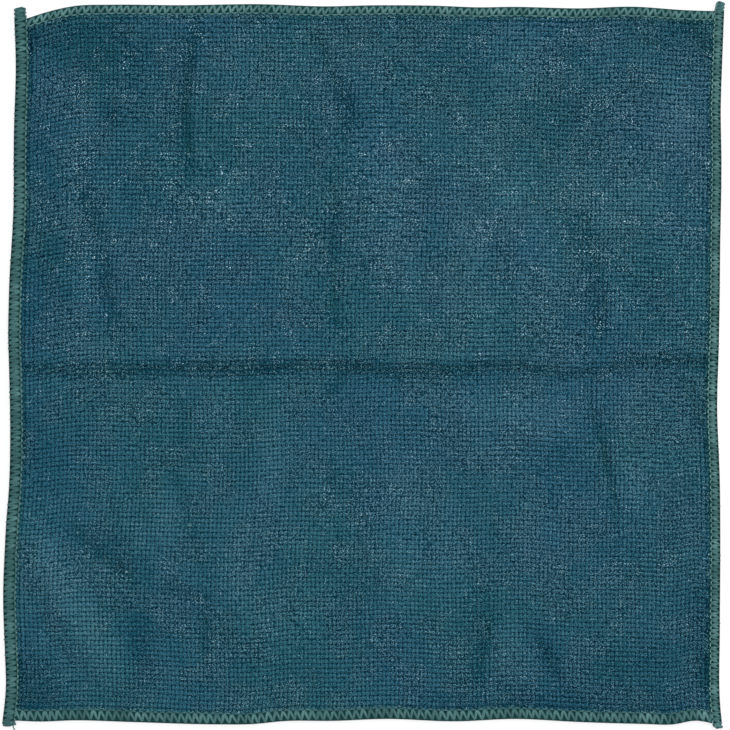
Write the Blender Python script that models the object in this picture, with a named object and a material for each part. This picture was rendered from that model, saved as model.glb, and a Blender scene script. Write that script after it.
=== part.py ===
"""A square terry microfibre cloth, lying face up, with its cut edges overlocked in a lighter thread.

The terry panel is one thin sheet with the unevenness in which the cloth lies: a packing crease across
the middle, smaller creases, and low swells. Each cut edge sits inside a run of overlock thread, which
wraps round it as a channel. The left and right runs were sewn last, so they cover the ends of the other
two and go on past the panel's corners as short tails.

Lengths in the tables are millimetres, and the meshes are metres. +X is to the right and +Y away from
the viewer who looks down at the cloth, +Z is up. The origin is on the surface below the cloth's middle.
"""

from collections import namedtuple

import bmesh
import bpy
import numpy as np

MM = 0.001

# The terry panel's heights above the surface, in mm: its full thickness, and where the runs pinch it.
PILE_TOP = 2.4
PINCHED_UNDERSIDE = 0.8
PINCHED_TOP = 2.0

# A run of overlock thread: its height, the thickness of its layers, and its rim beyond the cut edge.
RUN_HEIGHT = 2.8
THREAD_LAYER = 0.5
RIM = 0.6
ROUNDING = 0.3
GAP = 0.3

# How far each run reaches in from the cloth's outline.
RUN_WIDTH = {"left": 5.2, "right": 4.5, "top": 3.9, "bottom": 4.1}

# The outline, as the outer rim of the runs. Each side is a smooth curve through (along, position):
# the left and right sides give x at y, the bottom and top give y at x.
OUTLINE = {
    "left": (
        (-152.0, -151.8), (-137.0, -150.2), (-120.0, -150.6), (-99.0, -151.3), (-74.0, -150.4),
        (-49.0, -148.7), (-17.0, -148.4), (8.0, -149.0), (33.0, -148.7), (65.0, -147.0),
        (96.0, -146.8), (127.0, -146.0), (150.0, -146.8),
    ),
    "right": (
        (-153.0, 151.0), (-144.0, 150.1), (-112.0, 149.9), (-80.0, 150.1), (-49.0, 149.9),
        (-17.0, 148.8), (8.0, 149.5), (52.0, 150.1), (84.0, 150.6), (108.0, 150.3),
        (127.0, 150.9), (153.0, 151.9),
    ),
    "bottom": (
        (-146.0, -149.8), (-136.0, -150.2), (-122.0, -149.7), (-97.0, -150.4), (-60.0, -151.4),
        (-47.0, -151.3), (-33.0, -150.0), (-12.0, -149.9), (9.0, -149.1), (39.0, -150.1),
        (64.0, -149.1), (91.0, -150.4), (118.0, -151.2), (130.0, -151.4), (140.0, -149.7),
        (148.0, -151.2),
    ),
    "top": (
        (-141.0, 145.3), (-134.0, 147.6), (-121.0, 150.5), (-106.0, 151.0), (-77.0, 150.8),
        (-45.0, 151.2), (-14.0, 150.2), (3.0, 150.7), (30.0, 150.6), (49.0, 149.9),
        (62.0, 150.1), (93.0, 149.5), (112.0, 150.2), (136.0, 148.7), (148.0, 148.3),
    ),
}

# The packing crease that crosses the panel: a soft groove along a line through (x, y), with its depth.
PACKING_CREASE = (
    (-148.0, -1.0, 0.5), (-127.0, -2.9, 0.9), (-90.0, -2.1, 1.0), (-39.0, -2.1, 1.1),
    (-14.0, -0.6, 1.1), (7.0, -2.9, 1.2), (37.0, -2.9, 1.1), (58.0, -0.8, 0.9),
    (87.0, -4.0, 1.0), (99.0, -3.4, 0.4), (116.0, 1.6, 0.7), (132.0, 0.8, 1.0), (148.0, 0.8, 0.7),
)
PACKING_CREASE_REACH = 5.0

# The other unevenness, a row for each fold. A fold runs from (x0, y0) to (x1, y1), bowed sideways by
# bow at its middle, and fades out at its reach. A rise lifts the whole cloth; a dip only sinks the pile.
Fold = namedtuple("Fold", "x0 y0 x1 y1 bow reach height")
DIPS = (
    Fold(-70.0, 142.0, -72.0, 80.0, 3.5, 4.5, 0.9),
    Fold(-119.0, 74.0, -109.0, 48.0, 0.0, 6.0, 0.4),
    Fold(-109.0, 48.0, -104.0, 12.0, 0.0, 5.0, 0.4),
    Fold(-19.0, 138.0, -4.5, 106.0, 1.5, 5.0, 0.6),
    Fold(-4.5, 106.0, -12.0, 86.0, 0.0, 5.0, 0.5),
    Fold(-12.0, 86.0, -12.0, 16.0, 0.0, 4.5, 0.4),
    Fold(92.0, 65.0, 100.0, 33.0, 0.0, 4.5, 0.3),
    Fold(102.5, 29.0, 99.5, 10.0, 1.0, 5.0, 0.7),
    Fold(93.0, -10.0, 106.0, -64.0, -1.5, 4.0, 0.8),
    Fold(134.0, -6.0, 141.5, -24.0, 0.0, 5.0, 0.5),
    Fold(-7.5, -2.0, -15.0, -14.0, 0.0, 4.0, 0.8),
    Fold(-122.0, -68.0, -98.0, -88.0, 2.0, 5.0, 0.8),
    Fold(-84.0, -94.0, -66.0, -99.0, 0.0, 5.0, 0.5),
    Fold(-67.0, -99.0, -67.0, -134.0, 0.0, 5.0, 0.5),
    Fold(-79.0, -44.0, -69.0, -84.0, 0.0, 4.5, 0.4),
    Fold(54.0, -103.0, 48.0, -134.0, 0.0, 5.0, 0.5),
    Fold(74.0, -115.0, 82.0, -134.0, 0.0, 4.5, 0.5),
)
RISES = (
    Fold(-142.0, -66.0, -103.0, -128.0, 2.0, 15.0, 1.9),
    Fold(-88.0, -18.0, -80.0, -90.0, 0.0, 13.0, 0.8),
    Fold(-52.0, -98.0, -40.0, -112.0, 0.0, 24.0, 1.1),
    Fold(7.0, -60.0, 32.0, -116.0, 0.0, 34.0, 1.2),
    Fold(48.0, -26.0, 84.0, -26.0, 0.0, 22.0, 1.3),
    Fold(4.0, 92.0, 68.0, 26.0, 0.0, 42.0, 1.5),
    Fold(-98.0, 62.0, -28.0, 70.0, 0.0, 30.0, 1.0),
    Fold(120.0, 78.0, 134.0, 32.0, 0.0, 22.0, 1.1),
    Fold(122.0, -38.0, 118.0, -70.0, 0.0, 18.0, 0.9),
    Fold(-150.0, 24.0, -150.0, -8.0, 0.0, 20.0, 0.9),
    Fold(-40.0, 151.0, -2.0, 151.0, 0.0, 16.0, 0.7),
    Fold(132.0, -150.0, 144.0, -150.0, 0.0, 9.0, 0.6),
)

# The tails of the left and right runs, past the panel's corners: how far they reach beyond the other
# run's rim, and how wide they are at the tip.
Tail = namedtuple("Tail", "length tip_width")
TAILS = {
    ("left", "low"): Tail(2.1, 4.4),
    ("left", "high"): Tail(4.7, 4.8),
    ("right", "low"): Tail(1.35, 2.4),
    ("right", "high"): Tail(4.2, 3.2),
}
# Sections along a tail: share of its length, share of its width and share of its height.
TAIL_SECTIONS = ((0.0, 1.0, 1.0), (0.45, 1.0, 1.0), (0.82, 0.9, 0.85), (1.0, 0.55, 0.5))

# Lines of the panel's grid, as distances in from the cut edge, past a run and out from the crease.
BESIDE_RUN = (0.1, 1.6, 3.0)
BESIDE_CREASE = (0.0, 1.5, 3.6, 6.5)
COLUMNS_BETWEEN = 34
ROWS_BETWEEN = 15

# sRGB colours and roughness.
TERRY_COLOUR, TERRY_ROUGHNESS = (0.17, 0.33, 0.40), 0.95
THREAD_COLOUR, THREAD_ROUGHNESS = (0.27, 0.47, 0.44), 0.8


def smooth_through(points, at):
    """A curve through points (along, value), flat past both ends.

    Each point's slope is that of the chord between its neighbours, and cubics join the points.
    """
    along, value = np.array(points, float).T
    slope = np.gradient(value, along)
    at = np.clip(at, along[0], along[-1])
    i = np.clip(np.searchsorted(along, at) - 1, 0, len(along) - 2)
    span = along[i + 1] - along[i]
    t = (at - along[i]) / span
    return (
        value[i] * (1 + 2 * t) * (1 - t) ** 2
        + value[i + 1] * (3 - 2 * t) * t**2
        + span * (slope[i] * t * (1 - t) ** 2 - slope[i + 1] * t**2 * (1 - t))
    )


def rim(side, along):
    """The cloth's outline on one side, at places along it."""
    return smooth_through(OUTLINE[side], along)


def fold_height(folds, x, y):
    """The greatest height that any of the folds has at each place.

    Across a fold the height falls as (1 - (distance / reach)^2)^2, and along it as 1 - (2t - 1)^4.
    """
    highest = np.zeros_like(x)
    for fold in folds:
        run_x, run_y = fold.x1 - fold.x0, fold.y1 - fold.y0
        length = np.hypot(run_x, run_y)
        t = ((x - fold.x0) * run_x + (y - fold.y0) * run_y) / length**2
        t_on = np.clip(t, 0, 1)
        aside = ((x - fold.x0) * run_y - (y - fold.y0) * run_x) / length - fold.bow * 4 * t_on * (1 - t_on)
        beyond = (t - t_on) * length
        share = np.clip(1 - (aside**2 + beyond**2) / fold.reach**2, 0, 1) ** 2
        fade = 1 - 0.5 * (2 * t_on - 1) ** 4
        highest = np.maximum(highest, fold.height * share * fade)
    return highest


def crease_line(x):
    return smooth_through([(row[0], row[1]) for row in PACKING_CREASE], x)


def pile_dip(x, y):
    """How far the pile is sunk at each place, by the packing crease and the smaller creases."""
    depth = smooth_through([(row[0], row[2]) for row in PACKING_CREASE], x)
    off_line = (y - crease_line(x)) / PACKING_CREASE_REACH
    packing = depth * np.clip(1 - off_line**2, 0, 1) ** 2
    return np.maximum(packing, fold_height(DIPS, x, y))


def lift(x, y):
    """How far the cloth stands off the surface. It touches along the packing crease and elsewhere."""
    off_crease = np.clip(np.abs(y - crease_line(x)) / (3 * PACKING_CREASE_REACH), 0, 1)
    return fold_height(RISES, x, y) * off_crease**2 * (3 - 2 * off_crease)


def line_shares(near_low, near_high, between):
    """Grid lines from a low edge to a high one: some at set distances from each, the rest evenly spaced.

    Each line lies at low + share * (high - low) + shift.
    """
    even = np.linspace(0, 1, between + 2)
    share = np.concatenate([np.zeros(len(near_low) - 1), even, np.ones(len(near_high) - 1)])
    shift = np.concatenate([
        near_low[:-1],
        (1 - even) * near_low[-1] - even * near_high[-1],
        -np.array(near_high[:-1])[::-1],
    ])
    return share, shift


def near_run(side):
    """Distances in from the outline at which the panel has grid lines: its cut edge, and past the run."""
    return [RIM + GAP] + [RUN_WIDTH[side] + d for d in BESIDE_RUN]


def panel_grid():
    """x and y of the panel's grid, rows by columns, fitted to the outline and to the packing crease."""
    share_x, shift_x = line_shares(near_run("left"), near_run("right"), COLUMNS_BETWEEN)
    lower = line_shares(near_run("bottom"), BESIDE_CREASE, ROWS_BETWEEN)
    upper = line_shares(BESIDE_CREASE, near_run("top"), ROWS_BETWEEN)
    share_y, shift_y = (part[:, None] for part in lower)
    upper_share, upper_shift = (part[1:, None] for part in upper)
    x = np.zeros((len(lower[0]) + len(upper[0]) - 1, len(share_x)))
    y = np.zeros_like(x)
    # x depends on the sides at y, and y on the bottom, crease and top at x, so they settle in turns.
    for _ in range(8):
        low, high = rim("left", y), rim("right", y)
        x = low + share_x * (high - low) + shift_x
        bottom, crease, top = rim("bottom", x[0]), crease_line(x[0]), rim("top", x[0])
        y = np.concatenate([
            bottom + share_y * (crease - bottom) + shift_y,
            crease + upper_share * (top - crease) + upper_shift,
        ])
    return x, y


def pinch(x, y):
    """How much the runs squeeze the panel: 1 under a run, 0 past BESIDE_RUN, smooth between."""
    depths = (
        x - rim("left", y) - RUN_WIDTH["left"],
        rim("right", y) - x - RUN_WIDTH["right"],
        y - rim("bottom", x) - RUN_WIDTH["bottom"],
        rim("top", x) - y - RUN_WIDTH["top"],
    )
    start, end = BESIDE_RUN[0], BESIDE_RUN[-1]
    t = np.clip((np.minimum.reduce(depths) - start) / (end - start), 0, 1)
    return 1 - t**2 * (3 - 2 * t)


def add_piece(name, points, faces, colour, roughness):
    """A named object from points in mm and faces, turned to face outwards, with its own material."""
    mesh = bpy.data.meshes.new(name)
    mesh.from_pydata((np.asarray(points) * MM).tolist(), [], faces)
    shape = bmesh.new()
    shape.from_mesh(mesh)
    bmesh.ops.recalc_face_normals(shape, faces=shape.faces)
    shape.to_mesh(mesh)
    shape.free()
    mesh.shade_smooth()
    mesh.set_sharp_from_angle(angle=np.radians(50))
    material = bpy.data.materials.new(name + "_finish")
    material.use_nodes = True
    shader = material.node_tree.nodes["Principled BSDF"]
    linear = [((c + 0.055) / 1.055) ** 2.4 for c in colour]
    shader.inputs["Base Color"].default_value = (*linear, 1.0)
    shader.inputs["Roughness"].default_value = roughness
    shader.inputs["Metallic"].default_value = 0.0
    mesh.materials.append(material)
    piece = bpy.data.objects.new(name, mesh)
    bpy.context.scene.collection.objects.link(piece)
    return piece


def add_panel(x, y):
    """The terry panel: a top and an underside over one grid, joined round the cut edge."""
    rows, columns = x.shape
    squeezed, stands = pinch(x, y), lift(x, y)
    underside = stands + squeezed * PINCHED_UNDERSIDE
    top = stands + PILE_TOP - squeezed * (PILE_TOP - PINCHED_TOP) - (1 - squeezed) * pile_dip(x, y)
    points = np.concatenate([
        np.stack([x, y, height], axis=-1).reshape(-1, 3) for height in (underside, top)
    ])
    index = np.arange(2 * rows * columns).reshape(2, rows, columns)
    faces = []
    for layer in index:
        corners = (layer[:-1, :-1], layer[:-1, 1:], layer[1:, 1:], layer[1:, :-1])
        faces += np.stack(corners, axis=-1).reshape(-1, 4).tolist()
    border = np.concatenate(
        [index[:, 0, :-1], index[:, :-1, -1], index[:, -1, :0:-1], index[:, :0:-1, 0]], axis=1
    )
    after = np.roll(border, -1, axis=1)
    faces += np.stack([border[0], after[0], after[1], border[1]], axis=-1).tolist()
    return add_piece("terry_panel", points, faces, TERRY_COLOUR, TERRY_ROUGHNESS)


def run_section(width, wall):
    """A run's cross-section, as (distance in from the rim, height) round its outline.

    It is a channel, open on the inner side. The wall is how thick it is at the rim, before the slot.
    """
    lip = width - ROUNDING
    top = RUN_HEIGHT
    return np.array([
        (0.0, top / 2),
        (ROUNDING, 0.18 * top),
        (1.0, 0.0),
        (lip, 0.0),
        (width, THREAD_LAYER / 2),
        (lip, THREAD_LAYER),
        (wall, THREAD_LAYER),
        (wall, top - THREAD_LAYER),
        (lip, top - THREAD_LAYER),
        (width, top - THREAD_LAYER / 2),
        (lip, top),
        (1.0, top),
        (ROUNDING, 0.82 * top),
    ])


def add_run(side, along, sections):
    """A run of overlock thread: sections (distance in from the rim, height), carried along one side."""
    steps, around = sections.shape[:2]
    inward = 1 if side in ("left", "bottom") else -1
    across = rim(side, along)[:, None] + inward * sections[..., 0]
    along = np.broadcast_to(along[:, None], across.shape)
    x, y = (across, along) if side in ("left", "right") else (along, across)
    points = np.stack([x, y, sections[..., 1] + lift(x, y)], axis=-1).reshape(-1, 3)
    index = np.arange(steps * around).reshape(steps, around)
    after = np.roll(index, -1, axis=1)
    corners = (index[:-1], after[:-1], after[1:], index[1:])
    faces = np.stack(corners, axis=-1).reshape(-1, 4).tolist()
    faces += [index[0].tolist(), index[-1].tolist()]
    return add_piece("overlock_" + side, points, faces, THREAD_COLOUR, THREAD_ROUGHNESS)


def tail_sections(side, end, corner, direction):
    """Places along a side and sections for the tail that starts at the corner, outward bound."""
    tail, places, sections = TAILS[side, end], [], []
    for share, of_width, of_height in TAIL_SECTIONS:
        width = RUN_WIDTH[side] + (tail.tip_width - RUN_WIDTH[side]) * share
        section = run_section(width, width - 2 * ROUNDING)
        section[:, 0] = width / 2 + (section[:, 0] - width / 2) * of_width
        section[:, 1] *= of_height
        places.append(corner + direction * (THREAD_LAYER + share * (tail.length - THREAD_LAYER)))
        sections.append(section)
    return np.array(places), np.array(sections)


def add_side_run(side, along):
    """The left or right run: it covers the panel's whole edge and ends in two tails."""
    inward = 1 if side == "left" else -1
    across = rim(side, along[[0, -1]]) + inward * np.linspace(0, RUN_WIDTH[side], 5)[:, None]
    low = rim("bottom", across[:, 0]).min()
    high = rim("top", across[:, 1]).max()
    covered = np.concatenate([[low], along, [high]])
    channel = np.broadcast_to(run_section(RUN_WIDTH[side], RIM), (len(covered), 13, 2))
    low_places, low_sections = tail_sections(side, "low", low, -1)
    high_places, high_sections = tail_sections(side, "high", high, 1)
    places = np.concatenate([low_places[::-1], covered, high_places])
    sections = np.concatenate([low_sections[::-1], channel, high_sections])
    return add_run(side, places, sections)


def add_cross_run(side, along):
    """The bottom or top run: it ends against the left and right runs."""
    inward = 1 if side == "bottom" else -1
    across = rim(side, along[[0, -1]]) + inward * np.linspace(0, RUN_WIDTH[side], 5)[:, None]
    left = rim("left", across[:, 0]).max() + RUN_WIDTH["left"] + GAP
    right = rim("right", across[:, 1]).min() - RUN_WIDTH["right"] - GAP
    between = along[(along > left + GAP) & (along < right - GAP)]
    places = np.concatenate([[left], between, [right]])
    channel = np.broadcast_to(run_section(RUN_WIDTH[side], RIM), (len(places), 13, 2))
    return add_run(side, places, channel)


for old in list(bpy.data.objects):
    bpy.data.objects.remove(old)

grid_x, grid_y = panel_grid()
add_panel(grid_x, grid_y)
add_side_run("left", grid_y[:, 0])
add_side_run("right", grid_y[:, -1])
add_cross_run("bottom", grid_x[0])
add_cross_run("top", grid_x[-1])
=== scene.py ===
"""A square terry microfibre cloth with overlocked edges, lying face up and seen from straight above.

The sections follow the cloth as it is made: the knitted ground, the pile of loops that stands on it,
then the overlock threads that bind the cut edges, and last a thread end that was left uncut.
Lengths are millimetres until a mesh is filled. +X is to the right, +Y away from the viewer, +Z up.
"""
from collections import namedtuple

import bpy
import numpy as np
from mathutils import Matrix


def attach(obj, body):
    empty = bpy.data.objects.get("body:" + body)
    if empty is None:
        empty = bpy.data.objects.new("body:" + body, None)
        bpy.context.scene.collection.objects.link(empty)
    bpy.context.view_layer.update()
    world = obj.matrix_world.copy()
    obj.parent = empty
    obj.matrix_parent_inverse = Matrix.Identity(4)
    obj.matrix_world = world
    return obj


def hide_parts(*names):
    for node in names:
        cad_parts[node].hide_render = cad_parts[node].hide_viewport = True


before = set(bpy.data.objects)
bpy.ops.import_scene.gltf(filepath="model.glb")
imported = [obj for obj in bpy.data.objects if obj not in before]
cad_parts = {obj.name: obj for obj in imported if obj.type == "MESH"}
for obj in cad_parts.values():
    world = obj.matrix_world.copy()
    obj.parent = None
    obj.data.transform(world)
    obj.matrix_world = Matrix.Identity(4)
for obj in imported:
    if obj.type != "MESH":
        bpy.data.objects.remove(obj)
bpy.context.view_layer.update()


# ---- The camera: a still-life camera on a copy stand, looking straight down. A long lens keeps the
# cloth's edges square, and the picture's side spans a little more than the cloth.
MM = 0.001
VIEW_SPAN = 306.6
VIEW_CENTRE = (0.84, -0.42)
LENS, SENSOR = 100.0, 36.0

camera = bpy.data.objects.new("copy_camera", bpy.data.cameras.new("copy_camera"))
camera.data.lens = LENS
camera.data.sensor_width = SENSOR
camera.location = (VIEW_CENTRE[0] * MM, VIEW_CENTRE[1] * MM, (VIEW_SPAN * LENS / SENSOR + 2.0) * MM)
bpy.context.scene.collection.objects.link(camera)
bpy.context.scene.camera = camera
bpy.context.scene.view_settings.view_transform = "Standard"


# ---- The table: a light table, topped with matt white board and large enough that its edge shows in
# no view. Its own glow keeps the shadows round the cloth faint, as a cut-out product shot has them.
TABLE_SIDE = 6000.0
TABLE_TOP = -0.03


def linear(hex_code):
    """An sRGB hex colour as linear red, green and blue, and alpha 1."""
    parts = np.array([int(hex_code[i:i + 2], 16) for i in (0, 2, 4)]) / 255
    return (*np.where(parts <= 0.04045, parts / 12.92, ((parts + 0.055) / 1.055) ** 2.4), 1.0)


def start_material(name, **values):
    """A material whose Principled shader has these constant values. Returns it, its tree and shader."""
    material = bpy.data.materials.new(name)
    material.use_nodes = True
    shader = material.node_tree.nodes["Principled BSDF"]
    for socket, value in values.items():
        shader.inputs[socket.replace("_", " ")].default_value = value
    return material, material.node_tree, shader


def add_node(tree, kind, inputs=(), stops=(), output=0, **settings):
    """Adds one shader node with its settings, socket values or links, and a ramp's colour stops.

    Returns the output that other nodes link to.
    """
    node = tree.nodes.new("ShaderNode" + kind)
    for name, value in settings.items():
        setattr(node, name, value)
    for socket, value in dict(inputs).items():
        if isinstance(value, bpy.types.NodeSocket):
            tree.links.new(value, node.inputs[socket])
        else:
            node.inputs[socket].default_value = value
    if stops:
        elements = node.color_ramp.elements
        elements.remove(elements[1])
        elements[0].position, elements[0].color = stops[0][0], linear(stops[0][1])
    for place, colour in stops[1:]:
        elements.new(place).color = linear(colour)
    return node.outputs[output]


def fill_mesh(name, points, faces, bake_places=(), **point_values):
    """An object from points in mm (n, 3) and arrays of faces (m, corners).

    The bake places have a face's corners each at its own spot of the square bake map. Point values
    are named attributes, one number or one vector for each point.
    """
    mesh = bpy.data.meshes.new(name)
    mesh.vertices.add(len(points))
    mesh.vertices.foreach_set("co", np.ascontiguousarray(points * MM, np.float32).ravel())
    corners = np.concatenate([group.ravel() for group in faces])
    sizes = np.concatenate([np.full(len(group), group.shape[1]) for group in faces])
    mesh.loops.add(len(corners))
    mesh.loops.foreach_set("vertex_index", corners.astype(np.int32))
    mesh.polygons.add(len(sizes))
    mesh.polygons.foreach_set("loop_start", (np.cumsum(sizes) - sizes).astype(np.int32))
    mesh.update(calc_edges=True)
    if len(bake_places):
        places = np.concatenate([group.reshape(-1, 2) for group in bake_places])
        mesh.uv_layers.new(name="OFBake").data.foreach_set("uv", places.astype(np.float32).ravel())
    for key, values in point_values.items():
        kind, field = ("FLOAT", "value") if values.ndim == 1 else ("FLOAT_VECTOR", "vector")
        attribute = mesh.attributes.new(key, kind, "POINT")
        attribute.data.foreach_set(field, values.astype(np.float32).ravel())
    mesh.shade_smooth()
    piece = bpy.data.objects.new(name, mesh)
    bpy.context.scene.collection.objects.link(piece)
    return piece


board_corners = TABLE_SIDE / 2 * np.array([(-1, -1, 0), (1, -1, 0), (1, 1, 0), (-1, 1, 0)])
table = fill_mesh("table", board_corners + (0, 0, TABLE_TOP), [np.array([[0, 1, 2, 3]])])
# Matt translucent board, lit from below too: a bare trace of unevenness in the white, and no gloss.
board, tree, shader = start_material(
    "white_board",
    Roughness=0.9,
    Specular_IOR_Level=0.2,
    Emission_Color=linear("fdfeff"),
    Emission_Strength=0.62,
)
on_board = add_node(tree, "TexCoord", output="Object")
grain = add_node(tree, "TexNoise", {"Vector": on_board, "Scale": 1.5, "Detail": 3.0})
tint = add_node(tree, "ValToRGB", {"Fac": grain}, stops=((0.3, "a3a4a4"), (0.7, "a6a6a6")))
tree.links.new(tint, shader.inputs["Base Color"])
table.data.materials.append(board)


# ---- The light: a wide softbox above the camera, a second one low at the far right for relief, and
# the pale studio round them.
SOFTBOXES = (
    ("softbox_above", (150.0, 350.0, 1900.0), (1800.0, 1800.0), 35.0),
    ("softbox_side", (1500.0, 900.0, 700.0), (900.0, 900.0), 11.0),
)

for name, place, size, power in SOFTBOXES:
    lamp = bpy.data.lights.new(name, "AREA")
    lamp.shape = "RECTANGLE"
    lamp.size, lamp.size_y = size[0] * MM, size[1] * MM
    lamp.energy = power
    softbox = bpy.data.objects.new(name, lamp)
    softbox.location = np.array(place) * MM
    toward = np.array(place) / np.linalg.norm(place)
    softbox.rotation_euler = (np.arccos(toward[2]), 0.0, np.arctan2(toward[0], -toward[1]))
    bpy.context.scene.collection.objects.link(softbox)
world = bpy.data.worlds.new("pale_studio")
world.use_nodes = True
world.node_tree.nodes["Background"].inputs["Color"].default_value = linear("f4f7fa")
world.node_tree.nodes["Background"].inputs["Strength"].default_value = 0.38
bpy.context.scene.world = world


# ---- The knitted ground: a thin polyester knit, cut square, that carries the loops of the pile. It
# lies as it was unpacked, with a crease across the middle, smaller creases and low swells, and the
# overlock squeezes its cut edge.
GROUND_TOP = 1.5
PILE_TOP = 2.4
PINCHED_UNDERSIDE, PINCHED_MIDDLE, PINCHED_TOP = 0.75, 1.35, 1.95
# Where the pinch fades out in from a run: on the knit's face, and on its underside and the pile.
PINCH_ABOVE, PINCH_BELOW = (0.2, 1.7), (0.1, 3.0)
# The share of a crease's dip that the knit takes, and of its thickness that is left at the cut.
KNIT_DIPS, CUT_THICKNESS = 0.6, 0.25
CUT_EDGE_INSET = {"left": 0.05, "right": -0.07, "bottom": -0.08, "top": 0.0}
RUN_WIDTH = {"left": 5.2, "right": 4.3, "top": 3.9, "bottom": 4.1}
# Which way along x or y leads in from each side's rim, and the sides whose rim runs along y.
INWARD = {"left": 1, "right": -1, "bottom": 1, "top": -1}
UPRIGHT = ("left", "right")

# The outline on each side: x at y for the left and right, y at x for the bottom and top.
OUTLINE = {
    "left": (
        (-152, -151.8), (-137, -150.2), (-120, -150.6), (-99, -151.3), (-74, -150.4),
        (-49, -148.7), (-17, -148.4), (8, -149), (33, -148.7), (65, -147),
        (96, -146.8), (127, -146), (150, -146.8),
    ),
    "right": (
        (-153, 151), (-144, 150.1), (-112, 149.9), (-80, 150.1), (-49, 149.9),
        (-17, 148.8), (8, 149.5), (52, 150.1), (84, 150.6), (108, 150.3),
        (127, 150.9), (153, 151.9),
    ),
    "bottom": (
        (-146, -149.8), (-136, -150.2), (-122, -149.7), (-97, -150.4), (-60, -151.4),
        (-47, -151.3), (-33, -150), (-12, -149.9), (9, -149.1), (39, -150.1),
        (64, -149.1), (91, -150.4), (118, -151.2), (130, -151.4), (140, -149.7),
        (148, -151.2),
    ),
    "top": (
        (-141, 145.3), (-134, 147.6), (-121, 150.5), (-106, 151), (-77, 150.8),
        (-45, 151.2), (-14, 150.2), (3, 150.7), (30, 150.6), (49, 149.9),
        (62, 150.1), (93, 149.5), (112, 150.2), (136, 148.7), (148, 148.3),
    ),
}

# The packing crease across the cloth: the groove's line and its depth, a row for each point.
PACKING_CREASE = (
    (-148, -1, 0.5), (-127, -2.9, 0.9), (-90, -2.1, 1), (-39, -2.1, 1.1),
    (-14, -0.6, 1.1), (7, -2.9, 1.2), (37, -2.9, 1.1), (58, -0.8, 0.9),
    (87, -4, 1), (99, -3.4, 0.4), (116, 1.6, 0.7), (132, 0.8, 1), (148, 0.8, 0.7),
)
PACKING_CREASE_REACH = 5.0

# A fold runs from (x0, y0) to (x1, y1), bowed by bow at its middle, and fades out at its reach.
Fold = namedtuple("Fold", "x0 y0 x1 y1 reach height bow", defaults=(0,))


def folds_of(*rows):
    """Folds from rows of their values, the bow only where there is one."""
    return [Fold(*row) for row in rows]


# Dips only sink the pile, and rises lift the whole cloth.
DIPS = folds_of(
    (-70, 142, -72, 80, 4.5, 0.9, 3.5), (-119, 74, -109, 48, 6, 0.4), (-109, 48, -104, 12, 5, 0.4),
    (-19, 138, -4.5, 106, 5, 0.6, 1.5), (-4.5, 106, -12, 86, 5, 0.5), (-12, 86, -12, 16, 4.5, 0.4),
    (92, 65, 100, 33, 4.5, 0.3), (102.5, 29, 99.5, 10, 5, 0.7, 1), (93, -10, 106, -64, 4, 0.8, -1.5),
    (134, -6, 141.5, -24, 5, 0.5), (-7.5, -2, -15, -14, 4, 0.8), (-122, -68, -98, -88, 5, 0.8, 2),
    (-84, -94, -66, -99, 5, 0.5), (-67, -99, -67, -134, 5, 0.5), (-79, -44, -69, -84, 4.5, 0.4),
    (54, -103, 48, -134, 5, 0.5), (74, -115, 82, -134, 4.5, 0.5),
)
RISES = folds_of(
    (-142, -66, -103, -128, 15, 1.9, 2), (-88, -18, -80, -90, 13, 0.8), (-52, -98, -40, -112, 24, 1.1),
    (7, -60, 32, -116, 34, 1.2), (48, -26, 84, -26, 22, 1.3), (4, 92, 68, 26, 42, 1.5),
    (-98, 62, -28, 70, 30, 1), (120, 78, 134, 32, 22, 1.1), (122, -38, 118, -70, 18, 0.9),
    (-150, 24, -150, -8, 20, 0.9), (-40, 151, -2, 151, 16, 0.7), (132, -150, 144, -150, 9, 0.6),
)

# Grid lines of the ground: distances in from its cut edge, then how many lie evenly between.
BESIDE_EDGE = (0.0, 0.25, 0.8, 2.0)
PAST_RUN = (-0.6, 0.2, 1.0, 1.8, 3.0)
LINES_BETWEEN = 104


def smooth_through(points, at):
    """A curve through points (along, value): cubics whose slopes are the chords' between neighbours."""
    along, value = np.array(points, float).T
    slope = np.gradient(value, along)
    at = np.clip(at, along[0], along[-1])
    i = np.clip(np.searchsorted(along, at) - 1, 0, len(along) - 2)
    span = along[i + 1] - along[i]
    t = (at - along[i]) / span
    return (
        value[i] * (1 + 2 * t) * (1 - t) ** 2
        + value[i + 1] * (3 - 2 * t) * t**2
        + span * (slope[i] * t * (1 - t) ** 2 - slope[i + 1] * t**2 * (1 - t))
    )


def rim(side, along):
    """The cloth's outline on one side, at places along it."""
    return smooth_through(OUTLINE[side], along)


def soft_step(value, start, end):
    """0 before start and 1 after end, along 3t^2 - 2t^3 between."""
    t = np.clip((value - start) / (end - start), 0, 1)
    return t * t * (3 - 2 * t)


def fold_height(folds, x, y):
    """The greatest height of the folds at each place: across a fold (1 - (distance / reach)^2)^2."""
    highest = np.zeros_like(x)
    for fold in folds:
        run_x, run_y = fold.x1 - fold.x0, fold.y1 - fold.y0
        length = np.hypot(run_x, run_y)
        t = ((x - fold.x0) * run_x + (y - fold.y0) * run_y) / length**2
        t_on = np.clip(t, 0, 1)
        aside = ((x - fold.x0) * run_y - (y - fold.y0) * run_x) / length
        aside -= fold.bow * 4 * t_on * (1 - t_on)
        share = np.clip(1 - (aside**2 + ((t - t_on) * length) ** 2) / fold.reach**2, 0, 1) ** 2
        highest = np.maximum(highest, fold.height * share * (1 - 0.5 * (2 * t_on - 1) ** 4))
    return highest


def crease_line(x):
    """The packing crease's y at each x."""
    return smooth_through([(row[0], row[1]) for row in PACKING_CREASE], x)


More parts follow.
